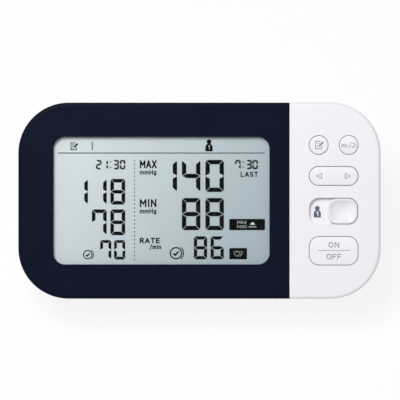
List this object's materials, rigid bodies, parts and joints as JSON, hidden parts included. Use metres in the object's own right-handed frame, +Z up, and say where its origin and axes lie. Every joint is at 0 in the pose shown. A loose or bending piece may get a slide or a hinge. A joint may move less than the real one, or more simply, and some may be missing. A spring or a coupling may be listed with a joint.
{
  "type": "blood pressure monitor",
  "caption": "Wedge-shaped tabletop blood pressure monitor for the upper arm: sloping face with a wide segment display, press keys, rocker, slide switch, battery bay and air socket.",
  "frame": {"origin": "on the table, under the middle of the whole form", "axes": "+X to the right as the user faces the display, +Y to the back, +Z up"},
  "size_m": [0.191, 0.1204, 0.0853],
  "materials": {
    "white_plastic": "fine satin moulding",
    "navy_plastic": "satin lacquer",
    "clear_window": "polished",
    "foam": "foam",
    "display_glass": "polarised grey-green",
    "holder_plastic": "moulded",
    "silicone": "silicone",
    "black_rubber": "moulded",
    "board_green": "solder mask",
    "steel": "plated",
    "black_plastic": "moulded",
    "cell_sleeve": "printed sleeve",
    "contact_metal": "nickel"
  },
  "bodies": {
    "housing": {"front_case": "white_plastic", "bottom_case": "white_plastic", "display_panel": "navy_plastic", "display_window": "clear_window", "window_gasket": "foam", "lcd_glass": "display_glass", "lcd_holder": "holder_plastic", "contact_strips": "silicone", "circuit_board": "board_green", "circuit_board_screws": "steel", "tact_switches": "black_plastic", "rocker_plungers": "black_plastic", "rocker_pin": "steel", "hall_sensors": "black_plastic", "pressure_sensor": "holder_plastic", "buzzer": "black_plastic", "microcontroller": "black_plastic", "capacitors": "black_plastic", "radio_module": "steel", "pump_head": "black_plastic", "pump_motor": "steel", "pump_cushion": "black_rubber", "pump_clamp": "holder_plastic", "pump_clamp_screws": "steel", "release_valve": "steel", "air_jack": "holder_plastic", "pump_tube": "silicone", "sensor_tube": "silicone", "valve_tube": "silicone", "dc_jack": "black_plastic", "dc_jack_pin": "contact_metal", "battery_cells": "cell_sleeve", "battery_plates": "contact_metal", "battery_leaf_contacts": "contact_metal", "rubber_feet": "black_rubber", "case_screws": "steel"},
    "start_key": {"start_stop_button": "white_plastic", "start_plunger": "black_plastic"},
    "memory_key": {"memory_button": "white_plastic", "memory_plunger": "black_plastic"},
    "connection_key": {"connection_button": "white_plastic", "connection_plunger": "black_plastic"},
    "rocker": {"page_rocker": "white_plastic"},
    "user_switch": {"user_switch_knob": "white_plastic", "user_switch_magnet": "steel"},
    "battery_door": {"battery_cover": "white_plastic"}
  },
  "joints": [
    {"name": "start_press", "type": "slide", "parent": "housing", "child": "start_key", "axis": [0, 0.5, -0.866], "range_m": [0, 0.0006], "stiffness_N_per_m": 1500},
    {"name": "memory_press", "type": "slide", "parent": "housing", "child": "memory_key", "axis": [0, 0.5, -0.866], "range_m": [0, 0.0006], "stiffness_N_per_m": 1500},
    {"name": "connection_press", "type": "slide", "parent": "housing", "child": "connection_key", "axis": [0, 0.5, -0.866], "range_m": [0, 0.0006], "stiffness_N_per_m": 1500},
    {"name": "rocker_tip", "type": "hinge", "parent": "housing", "child": "rocker", "pos_m": [0.07075, -0.00267, 0.06296], "axis": [0, 0.866, 0.5], "range_deg": [-2.5, 2.5], "stiffness_Nm_per_rad": 0.2},
    {"name": "user_slide", "type": "slide", "parent": "housing", "child": "user_switch", "axis": [-1, 0, 0], "range_m": [0, 0.0094]},
    {"name": "cover_swing", "type": "hinge", "parent": "housing", "child": "battery_door", "pos_m": [0.03, -0.02235, 0.0012], "axis": [-1, 0, 0], "range_deg": [0, 80]}
  ]
}
